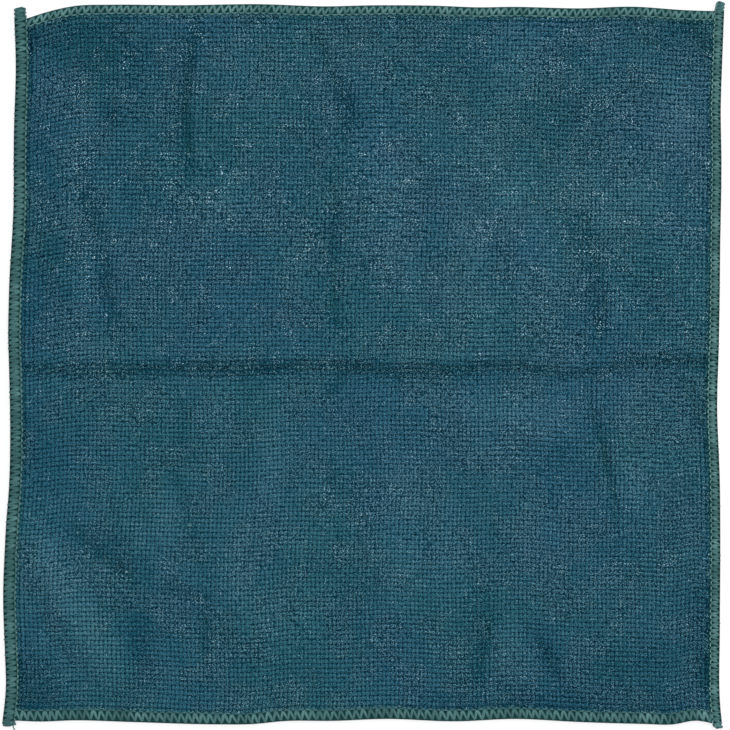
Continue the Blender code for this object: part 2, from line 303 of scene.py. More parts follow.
def pile_dip(x, y):
    """How far the pile is sunk, by the packing crease or by a smaller one."""
    depth = smooth_through([(row[0], row[2]) for row in PACKING_CREASE], x)
    off_line = (y - crease_line(x)) / PACKING_CREASE_REACH
    return np.maximum(depth * np.clip(1 - off_line**2, 0, 1) ** 2, fold_height(DIPS, x, y))


def lift(x, y):
    """How far the cloth stands off the table: its rises, fading out towards the packing crease."""
    return fold_height(RISES, x, y) * soft_step(np.abs(y - crease_line(x)), 0, 3 * PACKING_CREASE_REACH)


def in_from(sides, insets, x, y):
    """How far a place lies in from the nearest of these sides, each drawn in by its inset."""
    depths = []
    for side in sides:
        across, along = (x, y) if side in UPRIGHT else (y, x)
        depths.append(INWARD[side] * (across - rim(side, along)) - insets[side])
    return np.minimum.reduce(depths)


def past_runs(x, y):
    """How far a place lies inside the nearest run of overlock, negative under a run."""
    return in_from(INWARD, RUN_WIDTH, x, y)


def on_cloth(share_x, share_y, inset, shift_x=0.0, shift_y=0.0):
    """x and y at shares of the way across the outline drawn in by inset, plus shifts in mm.

    x depends on the side edges at y, and y on the end edges at x, so they settle in turns.
    """
    x, y = share_x * 0.0, share_y * 0.0
    for _ in range(8):
        low, high = rim("left", y) + inset["left"], rim("right", y) - inset["right"]
        x = low + share_x * (high - low) + shift_x
        low, high = rim("bottom", x) + inset["bottom"], rim("top", x) - inset["top"]
        y = low + share_y * (high - low) + shift_y
    return x, y


def grid_lines(side_low, side_high):
    """Shares and shifts of grid lines from one cut edge to the other, close together near the runs."""
    near = [
        np.concatenate([BESIDE_EDGE, RUN_WIDTH[side] - CUT_EDGE_INSET[side] + np.array(PAST_RUN)])
        for side in (side_low, side_high)
    ]
    even = np.linspace(0, 1, LINES_BETWEEN + 2)
    shares = np.concatenate([np.zeros(len(near[0]) - 1), even, np.ones(len(near[1]) - 1)])
    between = (1 - even) * near[0][-1] - even * near[1][-1]
    return shares, np.concatenate([near[0][:-1], between, -near[1][-2::-1]])


def ground_top(x, y):
    """The knit's upper face: low under the pile and higher where the overlock squeezes the edge."""
    squeezed = 1 - soft_step(past_runs(x, y), *PINCH_ABOVE)
    undipped = lift(x, y) + GROUND_TOP + squeezed * (PINCHED_TOP - GROUND_TOP)
    return undipped - (1 - squeezed) * KNIT_DIPS * pile_dip(x, y)


def sheet_between(top, underside, x, y):
    """Points, faces and bake places of a closed sheet: two grids joined by a wall round their border.

    The upper grid fills the left half of the bake map and the lower one, with the wall, the right.
    """
    rows, columns = x.shape
    points = np.concatenate([np.stack([x, y, z], -1).reshape(-1, 3) for z in (top, underside)])
    index = np.arange(2 * rows * columns).reshape(2, rows, columns)
    place = np.stack(np.meshgrid(np.linspace(0.02, 0.47, columns), np.linspace(0.02, 0.97, rows)), -1)
    place = np.concatenate([place, place + (0.5, 0.0)]).reshape(-1, 2)
    quads = [
        np.stack([layer[:-1, :-1], layer[:-1, 1:], layer[1:, 1:], layer[1:, :-1]], -1).reshape(-1, 4)
        for layer in index
    ]
    quads[1] = quads[1][:, ::-1]
    border = np.concatenate(
        [index[:, 0, :-1], index[:, :-1, -1], index[:, -1, :0:-1], index[:, :0:-1, 0]], axis=1
    )
    after = np.roll(border, -1, axis=1)
    wall = np.stack([border[1], after[1], after[0], border[0]], -1)
    wall_places = place[wall]
    wall_places[:, 2:] = place[wall[:, 1::-1]] - (0.012, 0.0)
    return points, [*quads, wall], [place[quads[0]], place[quads[1]], wall_places]


shares_x, shifts_x = grid_lines("left", "right")
shares_y, shifts_y = grid_lines("bottom", "top")
ground_x, ground_y = on_cloth(
    shares_x[None, :] + 0 * shares_y[:, None],
    shares_y[:, None] + 0 * shares_x[None, :],
    CUT_EDGE_INSET,
    shifts_x[None, :],
    shifts_y[:, None],
)
in_from_sides = in_from(UPRIGHT, CUT_EDGE_INSET, ground_x, ground_y)
in_from_ends = in_from(("bottom", "top"), CUT_EDGE_INSET, ground_x, ground_y)
in_from_cut = np.minimum(in_from_sides, in_from_ends)
# The cut edge is rounded as a quarter circle over its first grid lines.
from_cut = np.clip(in_from_cut / BESIDE_EDGE[2], 0, 1)
thickness = CUT_THICKNESS + (1 - CUT_THICKNESS) * np.sqrt(from_cut * (2 - from_cut))
edge_middle = lift(ground_x, ground_y) + PINCHED_MIDDLE
squeezed_below = 1 - soft_step(past_runs(ground_x, ground_y), *PINCH_BELOW)
underside = lift(ground_x, ground_y) + squeezed_below * PINCHED_UNDERSIDE
upper = edge_middle + (ground_top(ground_x, ground_y) - edge_middle) * thickness
lower = edge_middle + (underside - edge_middle) * thickness
points, faces, places = sheet_between(upper, lower, ground_x, ground_y)
# 0 under the pile, 0.5 under the thread, 0.75 at the end edges and 1 at the side edges.
to_cut = 0.5 - 0.5 * soft_step(past_runs(ground_x, ground_y), -0.2, 1.2)
to_cut += np.maximum(
    0.25 * (1 - soft_step(in_from_ends, 0.3, 1.3)),
    0.5 * (1 - soft_step(in_from_sides, 1.0, 1.8)),
)
# 1 on the underside, up to the thread, and 0 on the upper face.
pile_below = np.stack([0 * to_cut, np.clip(1 - 2 * to_cut, 0, 1)])
to_cut = np.stack([to_cut, to_cut])
ground = fill_mesh(
    "knitted_ground", points, faces, places, to_cut=to_cut.ravel(), pile_below=pile_below.ravel()
)

# Warp-knitted polyester, dyed in the piece: dull and greener under the thread, with painted shade that
# makes it dark between the loops and darkest in the notches of the cut edge. The hidden underside has
# the same short pile, as colour and bump only: cells the size of the loops, painted paler in their
# middles and darker at their edges, as light and shade on loops.
YARNS_PER_MM = 3.0
LOOP_BELOW = 1.85
knit, tree, shader = start_material(
    "knitted_polyester", Roughness=0.95, Specular_IOR_Level=0.05
)
toward_cut, knit_below = (
    add_node(tree, "Attribute", output="Fac", attribute_name=name)
    for name in ("to_cut", "pile_below")
)
knit_place = add_node(tree, "TexCoord", output="Object")
knit_grain = add_node(
    tree,
    "TexNoise",
    {"Vector": knit_place, "Scale": YARNS_PER_MM / MM, "Detail": 2.0, "Roughness": 0.6},
)
loops_below = add_node(
    tree,
    "TexVoronoi",
    {"Vector": knit_place, "Scale": 1 / (LOOP_BELOW * MM), "Randomness": 0.4},
    voronoi_dimensions="2D",
)
# Painted light and shade on the underside's loops: pale in the cells' middles, dark at their edges.
dye_and_shade_below = add_node(
    tree, "ValToRGB", {"Fac": loops_below}, stops=((0.1, "578090"), (0.4, "2a5e70"), (0.7, "08475a"))
)
# The knit's dye with painted shade: dark under the pile, greener under the thread, darkest in the
# notches.
knit_dye_and_shade = add_node(
    tree,
    "ValToRGB",
    {"Fac": toward_cut},
    stops=((0.0, "084458"), (0.5, "184c4c"), (0.75, "255150"), (1.0, "123536")),
)
dyes_and_shades = add_node(tree, "MixRGB", {"Fac": knit_below, "Color1": knit_dye_and_shade, "Color2": dye_and_shade_below})
knit_shade = add_node(tree, "ValToRGB", {"Fac": knit_grain}, stops=((0.35, "9a9a9a"), (0.65, "ffffff")))
knit_colour = add_node(
    tree, "MixRGB", {"Fac": 1.0, "Color1": dyes_and_shades, "Color2": knit_shade}, blend_type="MULTIPLY"
)
sunk_below = add_node(tree, "Math", {0: loops_below, 1: knit_below}, operation="MULTIPLY")
knit_height = add_node(tree, "Math", {0: knit_grain, 1: sunk_below}, operation="SUBTRACT")
knit_bump = add_node(tree, "Bump", {"Height": knit_height, "Strength": 0.6, "Distance": 0.4 * MM})
tree.links.new(knit_colour, shader.inputs["Base Color"])
tree.links.new(knit_bump, shader.inputs["Normal"])
ground.data.materials.append(knit)
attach(ground, "root")
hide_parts("terry_panel")


# ---- The pile: loops of split microfibre yarn, knitted in columns and rows through the ground. Each
# loop springs up as a small soft mound; packing and washing have pushed many of them out of line.
LOOP_PITCH = (1.73, 1.99)
LOOP_SINK = 0.12
# Half a loop's length and width, as shares of the pitch that each lies across.
LOOP_REACH, LOOP_SPREAD = 0.6, 0.62
# How much lower the pile is pressed beside a run, and the share of its height that a loop has.
PRESSED, COMMON_HEIGHT = 0.35, 0.97
# How far a loop's top leans, in mm, by chance and away from the packing crease.
LEAN, LEAN_FROM_CREASE = 0.08, 0.24
# How far patches of loops wander from their grid together, in mm.
WANDER = 0.45
PILE_BANDS = 4
MOUND_SIDES = 6
# A mound's rings, as shares of its half width and of its height, and the ridge along its top.
MOUND_BASE, MOUND_MIDDLE, RIDGE_END = (0.85, 0.0), (0.98, 0.66), (0.4, 1.0)
# Painted light and shade up each loop: how pale the yarn is at those rings and on the ridge, paler up
# where its filaments spread in the light and darker down in the shade between the loops.
PAINTED_LIGHT_UP_LOOP = (0.46, 0.5, 0.56)
PAINTED_LIGHT_MIDDLE = 0.55
# The filaments' grain in mm along the yarn and across it.
FILAMENT_GRAIN = (0.7, 0.35)
# Painted light and shade in wide zones: where the pile was stroked towards the light or away from it,
# and where rises and creases face the light or turn from it. The zones are like folds, whose height is
# how much lighter or darker they are, in zone shares of the whole range.
ZONE_SHARE = 0.026
PAINTED_LIGHT_ZONES = folds_of(
    (-139, -74, -104, -128, 13, 15), (-136, -74, -130, -82, 10, 16), (-86, -50, -83, -80, 10, 9),
    (-38, -16, -36, -60, 11, 8), (-54, -66, -48, -106, 16, 8), (-38, 46, -24, 40, 14, 6),
    (-26, -96, -20, -108, 12, 5), (17, -36, 18, -98, 13, 8), (38, -18, 84, -24, 14, 11),
    (113, -38, 115, -58, 11, 12), (112, -8, 112, -26, 10, 7), (62, -112, 62, -128, 10, 7),
    (-64, 72, -50, 66, 16, 7), (-55, 140, -52, 128, 10, 4), (-42, 116, -40, 100, 9, 4),
    (10, 96, 16, 30, 16, 8), (52, 90, 70, 62, 17, 9), (44, 62, 46, 16, 16, 8),
    (92, 74, 110, 60, 15, 10), (108, 30, 106, 18, 7, 8), (130, 118, 134, 92, 14, 12),
    (66, 146, 66, 116, 14, 5), (76, 48, 72, 20, 14, 6), (51, 30, 54, 4, 13, 7),
    (46, -34, 60, -38, 13, 9), (106, 82, 128, 58, 15, 8), (-44, -100, -36, -112, 14, 7),
    (-62, -12, -62, -50, 8, 6), (14, 4, 66, 4.5, 3, 7), (-122, 6, -106, 6, 6, 7),
    (-24, -44, -19, -58, 11, 6), (66, -64, 78, -74, 15, 7), (-46, -66, -20, -74, 13, 6),
    (32, -56, 36, -98, 13, 6), (-96, -64, -76, -88, 12, 6), (-60, 5, -20, 4, 3, 4),
    (-145, -62, -146, -118, 5, 7),
)
PAINTED_SHADE_ZONES = folds_of(
    (-146, 146, -96, 128, 26, 13), (-146, 122, -142, 74, 15, 9), (-97, 136, -98, 124, 8, 16),
    (-105, 110, -106, 100, 8, 14), (-116, 76, -104, 10, 8, 7), (-146, 84, -138, 10, 18, 6),
    (-72, 140, -74, 84, 9, 8, 4), (-10, 116, -4, 104, 9, 9), (-12, 70, -12, 16, 8, 5),
    (76, 106, 104, 108, 17, 9), (90, 66, 100, 14, 9, 8), (122, 34, 120, 16, 10, 5),
    (-60, 148, 146, 146, 12, 6), (-146, -20, -132, -44, 16, 8), (-108, -72, -92, -90, 9, 5),
    (-94, -104, -94, -132, 9, 11), (-80, -94, -66, -98, 7, 5), (-148, -126, -134, -148, 17, 13),
    (30, -146, 146, -142, 16, 9), (50, -100, 46, -138, 8, 9), (72, -112, 84, -132, 9, 9),
    (82, -38, 86, -36, 8, 5), (146, -4, 146, -30, 10, 8), (146, -90, 142, -134, 16, 12),
    (98, -128, 124, -126, 13, 8), (118, 146, 142, 138, 18, 12), (30, 146, 38, 120, 13, 6),
    (86, 140, 92, 126, 14, 6), (-98, 120, -94, 106, 12, 6), (-136, 100, -130, 20, 12, 7),
    (-77, -10, -76, -40, 6, 4), (122, -120, 130, -128, 10, 8), (-146, -2, -24, -1, 9, 5),
    (-20, -1, 66, -3, 8, 5), (100, -1, 146, 1, 9, 6), (-96, 82, -94, 70, 12, 5),
    (-22, 86, -20, 74, 10, 5), (-50, -1, -30, -1.2, 3.5, 15), (-9, -2.2, 1, -2, 3, 13),
    (-97, -2, -86, -2.4, 3, 10), (-73, -2, -52, -3, 3, 9), (99, 28, 98, 10, 5, 9),
    (130, 1.5, 146, 0.5, 4, 9),
)
# Beside three corners, by the turned runs, the pile is even and has painted shade.
CORNERS = folds_of(
    (138, 144, 147, 128, 6.5, 1), (-140, 142, -141, 129, 6.5, 0.65), (142, -124, 144, -138, 6, 0.6),
)
# Where there are more painted glints, of filament ends catching the light, than elsewhere.
GLINTING = folds_of(
    (-118, 124, -117, 20, 9, 0.5), (-84, 84, -60, 60, 16, 0.3), (0, 96, 14, 40, 20, 0.3),
    (80, 84, 96, 50, 16, 0.3),
)
# How much painted shade darkens the pile, in shares of the range: for each mm of a crease's dip, along
# the packing crease, down a smaller one, beside any run, beside a side run, in corners. Unruly pile is
# darker by its own share.
CREASE_SHADE, LINE_SHADE, CORE_SHADE = 0.21, 0.19, 0.2
RUN_SHADE, SIDE_SHADE, CORNER_SHADE, UNRULY_SHADE = 0.14, 0.25, 0.32, 0.1
# The packing crease's dark line in mm, and the dark share of a smaller crease's width.
LINE_WIDTH, CORE_WIDTH = 1.8, 0.42
# How much the tone differs by loop, by yarn and by patch, and how fast it changes from yarn to yarn.
LOOP_TONE, YARN_TONE, PATCH_TONE = 0.012, 0.022, 0.044
YARN_STEP = 7.3


def held_normal(chance, shape):
    """Normal random numbers of spread 1, held between -2 and 2."""
    return chance.normal(0, 1, shape).clip(-2, 2)


def patches(x, y, size, seed):
    """Soft random patches from -1 to 1: random numbers on a grid of that size, smoothly joined."""
    spots = np.random.default_rng(seed).uniform(-1, 1, (400, 400))
    across, down = x / size + 200, y / size + 200
    i, j = np.floor(across).astype(int) % 399, np.floor(down).astype(int) % 399
    u, v = soft_step(across % 1, 0, 1), soft_step(down % 1, 0, 1)
    near = spots[i, j] * (1 - u) + spots[i + 1, j] * u
    far = spots[i, j + 1] * (1 - u) + spots[i + 1, j + 1] * u
    return near * (1 - v) + far * v


def pile_top(x, y):
    """The height of the loops' tops, lower beside a run and in the creases."""
    pressed = 1 - soft_step(past_runs(x, y), *PINCH_BELOW)
    return lift(x, y) + PILE_TOP - PRESSED * pressed - (1 - pressed) * pile_dip(x, y)


def mound_template():
    """One mound's points, as (x, y) shares and a height share, and its faces with bake places.

    Points 0 to 5 go round the base, 6 to 11 round the middle, and 12 and 13 are the ridge's ends.
    """
    angle = 2 * np.pi * np.arange(MOUND_SIDES) / MOUND_SIDES
    ring = np.stack([np.cos(angle), np.sin(angle)], -1)
    ridge = np.array([(-1, 0), (1, 0)])
    flat = np.concatenate([ring * MOUND_BASE[0], ring * MOUND_MIDDLE[0], ridge * RIDGE_END[0]])
    height = np.repeat([MOUND_BASE[1], MOUND_MIDDLE[1], RIDGE_END[1]], [MOUND_SIDES, MOUND_SIDES, 2])
    place = np.concatenate([ring * 0.46, ring * 0.3, ridge * 0.1]) + 0.5
    base = np.arange(MOUND_SIDES)
    after = np.roll(base, -1)
    faces = [
        base[None, ::-1],
        np.stack([base, after, after + MOUND_SIDES, base + MOUND_SIDES], -1),
        np.array([(6, 7, 13), (11, 6, 13), (8, 9, 12), (9, 10, 12)]),
        np.array([(7, 8, 12, 13), (10, 11, 13, 12)]),
    ]
    places = [place[group] for group in faces]
    # The hidden base needs only a corner of the bake map.
    places[0] = 0.03 + 0.02 * place[faces[0]]
    return flat, height, faces, places


columns, rows = (
    round((rim(high, 0.0) - rim(low, 0.0) - RUN_WIDTH[low] - RUN_WIDTH[high]) / pitch)
    for low, high, pitch in zip(("left", "bottom"), ("right", "top"), LOOP_PITCH)
)
chance = np.random.default_rng(11)
column, row = (part.ravel() for part in np.meshgrid(np.arange(columns), np.arange(rows)))
loop_x, loop_y = on_cloth((column + 0.5) / columns, (row + 0.5) / rows, RUN_WIDTH)
loops = len(loop_x)
# Disorder is 0 where the columns still run straight and 1 where the loops lie as they fell.
disorder = 0.32 - 0.2 * soft_step(-loop_y, -40, 120)
disorder += 0.8 * patches(loop_x, loop_y, 14, 1)
disorder += 0.25 * patches(loop_x, loop_y, 5, 2)
disorder = np.clip(disorder, 0.05, 1)
# Beside the runs the loops keep to their grid. Elsewhere they wander in wide and in small patches.
free = np.clip(past_runs(loop_x, loop_y) / 4, 0, 1)
small = 0.12 * disorder * patches(loop_x, loop_y, 4, 4)
loop_x += free * (WANDER * patches(loop_x, loop_y, 22, 3) + small)
small = 0.15 * disorder * patches(loop_x, loop_y, 4, 6)
loop_y += free * (WANDER * patches(loop_x, loop_y, 22, 5) + small)
loop_x += LOOP_PITCH[0] * (0.02 + 0.05 * disorder) * held_normal(chance, loops)
loop_y += LOOP_PITCH[1] * (0.02 + 0.05 * disorder) * held_normal(chance, loops)

# In some patches the loops lie along their row and merge with it, in others along their column.
along_row = chance.uniform(0, 1, loops) < soft_step(patches(loop_x, loop_y, 17, 13), -0.3, 0.3)
turn = np.where(along_row, 0, np.pi / 2) + (0.12 + 0.75 * disorder) * chance.uniform(-1, 1, loops)
stretch = 1 + (0.05 + 0.14 * disorder) * chance.uniform(-0.6, 1, loops)
size = 1 + 0.025 * held_normal(chance, loops)
half_length = LOOP_REACH * np.where(along_row, *LOOP_PITCH) * size * stretch
half_width = LOOP_SPREAD * np.where(along_row, *LOOP_PITCH[::-1]) * size / np.sqrt(stretch)
foot = ground_top(loop_x, loop_y) - LOOP_SINK
tallness = 1 + (0.015 + 0.03 * disorder) * held_normal(chance, loops)
stand = (pile_top(loop_x, loop_y) - foot) * tallness * COMMON_HEIGHT
lean = LEAN * held_normal(chance, (loops, 2)) * (0.4 + 0.6 * disorder)[:, None]
off_crease = (loop_y - crease_line(loop_x)) / PACKING_CREASE_REACH
lean[:, 1] += LEAN_FROM_CREASE * np.sign(off_crease) * np.exp(-(off_crease**2))

flat, height, mound_faces, mound_places = mound_template()
rough = 1 + 0.035 * held_normal(chance, (loops, len(flat)))
along = flat[:, 0] * half_length[:, None] * rough
aside = flat[:, 1] * half_width[:, None] * rough
cos, sin = np.cos(turn)[:, None], np.sin(turn)[:, None]
mound_points = np.stack([
    loop_x[:, None] + along * cos - aside * sin + lean[:, :1] * height,
    loop_y[:, None] + along * sin + aside * cos + lean[:, 1:] * height,
    foot[:, None] + stand[:, None] * height,
], -1)
# Painted glints, of filament ends catching the light, in small patches, more in the far half of the
# cloth.
glint = np.clip(1.6 * patches(loop_x, loop_y, 4, 7) - 0.35, 0, 1)
glint *= 0.75 + 0.25 * np.sign(loop_y)
glint = np.clip(glint + fold_height(GLINTING, loop_x, loop_y), 0, 1)
tone = LOOP_TONE * held_normal(chance, loops)
# A row or a column of loops keeps its tone for a while, since each is one yarn.
row_tone = YARN_TONE * patches(loop_x, YARN_STEP * row, 12, 8)
tone += row_tone + YARN_TONE * patches(YARN_STEP * column, loop_y, 12, 9)
# Painted light and shade in wide zones.
tone += ZONE_SHARE * (fold_height(PAINTED_LIGHT_ZONES, loop_x, loop_y) - fold_height(PAINTED_SHADE_ZONES, loop_x, loop_y))
tone += PATCH_TONE * patches(1.6 * loop_x, 0.7 * loop_y, 11, 10)
beside_run = 1 - soft_step(past_runs(loop_x, loop_y), 0.2, 2.0)
beside_sides = 1 - soft_step(in_from(UPRIGHT, RUN_WIDTH, loop_x, loop_y), 0.3, 2.4)
on_crease = np.exp(-(((loop_y - crease_line(loop_x)) / LINE_WIDTH) ** 2))
in_core = fold_height([dip._replace(reach=CORE_WIDTH * dip.reach) for dip in DIPS], loop_x, loop_y)
in_corner = fold_height(CORNERS, loop_x, loop_y)
# Painted shade along the packing crease, in the smaller creases' cores, in corners, in the dips and
# beside the runs.
tone -= LINE_SHADE * on_crease
tone -= CORE_SHADE * in_core
tone -= CORNER_SHADE * in_corner
tone -= CREASE_SHADE * pile_dip(loop_x, loop_y) + RUN_SHADE * beside_run + SIDE_SHADE * beside_sides
# Where the loops stand apart their ends are unruly, and where they lie close the pile is even. It is
# a little more unruly towards the far right, and most of all along the packing crease.
apart = patches(loop_x, loop_y, 10, 14) + 0.5 * patches(loop_x, loop_y, 5, 15)
unruly = 0.58 + 0.5 * soft_step(apart, -0.5, 0.6)
unruly += 0.0006 * loop_x + 0.0007 * loop_y + 0.5 * on_crease - 0.35 * in_corner
tone -= UNRULY_SHADE * (unruly - 0.85)
greened = np.max([beside_run, in_core, 0.5 * on_crease, 0.8 * in_corner], 0)
# Painted light and shade: each loop is paler up towards its ridge and darker down at its base.
up_loop = np.repeat(PAINTED_LIGHT_UP_LOOP, [MOUND_SIDES, MOUND_SIDES, 2])
up_loop = PAINTED_LIGHT_MIDDLE + (up_loop - PAINTED_LIGHT_MIDDLE) * unruly[:, None]
# Each loop shows another length of its yarn.
yarn_length = np.random.default_rng(12).uniform(0, 400, loops)
yarn = np.stack([
    along / FILAMENT_GRAIN[0] + yarn_length[:, None],
    aside / FILAMENT_GRAIN[1],
    stand[:, None] * height / FILAMENT_GRAIN[0],
], -1)

# Split polyester and polyamide yarn: matt and soft, with painted shade down between the loops and
# painted light on their tops.
terry, tree, shader = start_material(
    "split_microfibre_terry",
    Roughness=0.9,
    Specular_IOR_Level=0.04,
    Sheen_Weight=0.02,
    Sheen_Roughness=0.6,
    Sheen_Tint=linear("a9c9d4"),
)
FIBRE_ENDS_PER_MM = 2.7
DYE_PATCHES_PER_MM = 0.016
# How strongly the filaments and the fibre ends show, and the whole pile's contrast and brightness.
STREAKS, SPECKLES = 0.4, 7.0
CONTRAST, BRIGHTNESS = 0.4, 0.17
painted_light_up_loop, loop_tone, unrest, shine, greener = (
    add_node(tree, "Attribute", output="Fac", attribute_name=name)
    for name in ("up_loop", "loop_tone", "unruly", "glint", "greened")
)
yarn_place = add_node(tree, "Attribute", output="Vector", attribute_name="yarn")
on_pile = add_node(tree, "TexCoord", output="Object")
filament = add_node(
    tree, "TexNoise", {"Vector": yarn_place, "Scale": 1.0, "Detail": 1.0, "Roughness": 0.6}
)
fibre_ends = add_node(
    tree, "TexNoise", {"Vector": on_pile, "Scale": FIBRE_ENDS_PER_MM / MM, "Detail": 0.0}
)
dye = add_node(
    tree,
    "TexNoise",
    {"Vector": on_pile, "Scale": DYE_PATCHES_PER_MM / MM, "Detail": 2.0, "Roughness": 0.5},
)
toned = add_node(tree, "Math", {0: loop_tone, 1: painted_light_up_loop}, operation="ADD")
streaked = add_node(tree, "Math", {0: filament, 1: STREAKS, 2: toned}, operation="MULTIPLY_ADD")
# The noise lies round 0.5, so the fibre ends make the pile lighter and darker alike.
either_way = add_node(
    tree, "Math", {0: fibre_ends, 1: SPECKLES, 2: -SPECKLES / 2}, operation="MULTIPLY_ADD"
)
speckled = add_node(tree, "Math", {0: either_way, 1: unrest, 2: streaked}, operation="MULTIPLY_ADD")
lightness = add_node(tree, "Math", {0: speckled, 1: CONTRAST, 2: BRIGHTNESS}, operation="MULTIPLY_ADD")
pile_colour = add_node(
    tree,
    "ValToRGB",
    {"Fac": lightness},
    stops=(
        (0.0, "001825"), (0.14, "002d3f"), (0.33, "08475a"), (0.5, "2a5e70"),
        (0.71, "447183"), (0.85, "547d8d"), (1.0, "648b99"),
    ),
)
dye_cast = add_node(tree, "ValToRGB", {"Fac": dye}, stops=((0.38, "edf8f2"), (0.62, "f2f5fb")))
dyed = add_node(
    tree, "MixRGB", {"Fac": 1.0, "Color1": pile_colour, "Color2": dye_cast}, blend_type="MULTIPLY"
)
# Beside the overlock, in corners and down in the creases, with its painted shade, the pile is a little
# greener.
beside = add_node(
    tree, "MixRGB", {"Fac": greener, "Color1": dyed, "Color2": linear("fffff2")}, blend_type="MULTIPLY"
)
# Painted glints: where the fibre ends' noise peaks in the glinting patches, the pile turns near white.
sparkle = add_node(tree, "MapRange", {"Value": fibre_ends, "From Min": 0.727, "From Max": 0.742})
sparkling = add_node(tree, "Math", {0: sparkle, 1: shine}, operation="MULTIPLY")
with_glint = add_node(tree, "MixRGB", {"Fac": sparkling, "Color1": beside, "Color2": linear("cceef9")})
pile_bump = add_node(tree, "Bump", {"Height": filament, "Strength": 0.6, "Distance": 0.2 * MM})
tree.links.new(with_glint, shader.inputs["Base Color"])
tree.links.new(pile_bump, shader.inputs["Normal"])

for band in range(PILE_BANDS):
    chosen = np.flatnonzero(row * PILE_BANDS // rows == band)
    count = len(chosen)
    first = np.arange(count)[:, None, None] * len(flat)
    cells = int(np.ceil(np.sqrt(count)))
    corner = np.stack([np.arange(count) % cells, np.arange(count) // cells], -1)[:, None, None, :]
    band_faces = [(first + group).reshape(-1, group.shape[1]) for group in mound_faces]
    band_places = [((corner + place) / cells).reshape(-1, place.shape[1], 2) for place in mound_places]
    pile = fill_mesh(
        f"terry_pile_{band + 1}",
        mound_points[chosen].reshape(-1, 3),
        band_faces,
        band_places,
        up_loop=up_loop[chosen].ravel(),
        unruly=np.repeat(unruly[chosen], len(flat)),
        loop_tone=np.repeat(tone[chosen], len(flat)),
        glint=np.repeat(glint[chosen], len(flat)),
        greened=np.repeat(greened[chosen], len(flat)),
        yarn=yarn[chosen].reshape(-1, 3),
    )
    pile.data.materials.append(terry)
    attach(pile, "root")
    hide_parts("terry_panel")


# ---- The overlock: three polyester threads sewn round each cut edge. The needle thread runs along the
# inner line, and two looper threads swing from it to the rim, one over the cloth and one under it.
# The left and right runs were sewn last, and their threads go on past the corners as short tails.
# Each run: its stitch pitch; the insets of its needle line and of its turns at the rim; its slant, as a
# share of the pitch; how round its turns are, and by what power its inner turns are wider; its strands'
# width, what they lose of it at the needle and at the rim, and their height; its tone.
Run = namedtuple("Run", "side pitch inner outer slant round turn strand thin_in thin_out height tone")
RUNS = (
    Run("left", 2.34, 4.4, 0.2, -0.24, 0.9, 1, 1.5, 0.2, 0.54, 0.62, -0.17),
    Run("right", 2.33, 3.2, 0.15, -0.23, 0.85, 1, 1.38, 0.18, 0.74, 0.6, -0.07),
    Run("bottom", 3, 3.95, 0.3, 0.24, 0.35, 1.7, 1.25, 0, 0.3, 0.6, -0.08),
    Run("top", 3.05, 3.4, 0.5, 0.25, 0.25, 1, 1.15, 0, 0.1, 0.58, -0.02),
)
# The needle thread's arcs: how far their ends lie inside the loopers' turns, how far each bulges
# inwards and rises, half its width, and how much paler it is than the loopers.
Arc = namedtuple("Arc", "offset bulge rise half_width tone")
ARCS = {
    "left": Arc(0.4, 0.5, 0.8, 0.36, 0.1),
    "right": Arc(0, 0.85, 0.6, 0.24, 0.19),
    "bottom": Arc(0, 0.85, 0.45, 0.28, -0.08),
    "top": Arc(0, 0.6, 0.6, 0.3, 0),
}
# The loopers: height over the table, shift along the run as a share of a stitch, size against the
# run's strand, rings to a stitch and sides of the tube.
Looper = namedtuple("Looper", "name level shift size steps sides")
LOOPERS = (Looper("upper", 2.45, 0.0, 1.0, 16, 8), Looper("lower", 0.36, 0.05, 0.8, 12, 6))
NEEDLE_HEIGHT, NEEDLE_STEPS, NEEDLE_SIDES = 1.7, 8, 6
NEEDLE_HALF_HEIGHT = 0.26
# The loopers bend round the rim's middle within this distance of their turns.
RIM_MIDDLE, ROUND_AT_RIM = 1.4, 1.1
DIP_AT_NEEDLE = 0.45
# The length of the yarn's twist and of its filaments' grain.
TWIST_LENGTH, FILAMENT_LENGTH = 2.2, 6
# How far the stitches differ: their spacing, fullness and slant as shares, their reach at the rim
# and at the needle in mm, and their tone.
SPACING_VARIES, FULLNESS_VARIES, SLANT_VARIES = 0.08, 0.1, 0.05
RIM_VARIES, NEEDLE_VARIES, TONE_VARIES = 0.14, 0.12, 0.08
# In shares of the colours' range, as painted light and shade: a strand is paler along its crest than
# down its sides and darker towards the rim, and an arc is paler in its middle than at its ends.
CREST_LIGHT_AND_SHADE, RIM_SHADE, ARC_LIGHT_AND_SHADE = 0.14, 0.05, 0.2
# Each tail: how far it reaches past the other run's rim, and the insets of its two sides at the tip.
# Its stitches lie closer together than those on the cloth.
Tail = namedtuple("Tail", "length outer inner")
TAILS = {
    "left": (Tail(2.0, -0.6, 5.6), Tail(4.6, 0.2, 4.6)),
    "right": (Tail(1.6, -0.4, 2.4), Tail(4.1, -0.2, 3.4)),
}
TAIL_PITCH, TAIL_THINNED = 0.62, 0.72
# The last share of a tail, how far it closes towards a whole ellipse, and how much lower its tip is.
TAIL_ROUND, TAIL_CLOSES, TIP_LOWER = 0.2, 0.7, 0.35
# A tail's core: its height over the table, half its own height, its share of the tail's width, how much
# darker it is painted, as shade inside the tail, its rings and its sides.
CORE_LEVEL, CORE_HALF_HEIGHT, CORE_FILLS, CORE_PAINTED_SHADE = 1.3, 0.45, 0.88, 0.2
CORE_RINGS, CORE_SIDES = 13, 12
# Where a side's corners are, near enough, and how far the end runs stop short of the side runs.
CORNER_PLACE, RUN_GAP = 150.0, 0.4
# The margin inside each cell of a thread's bake map.
BAKE_MARGIN = 0.04


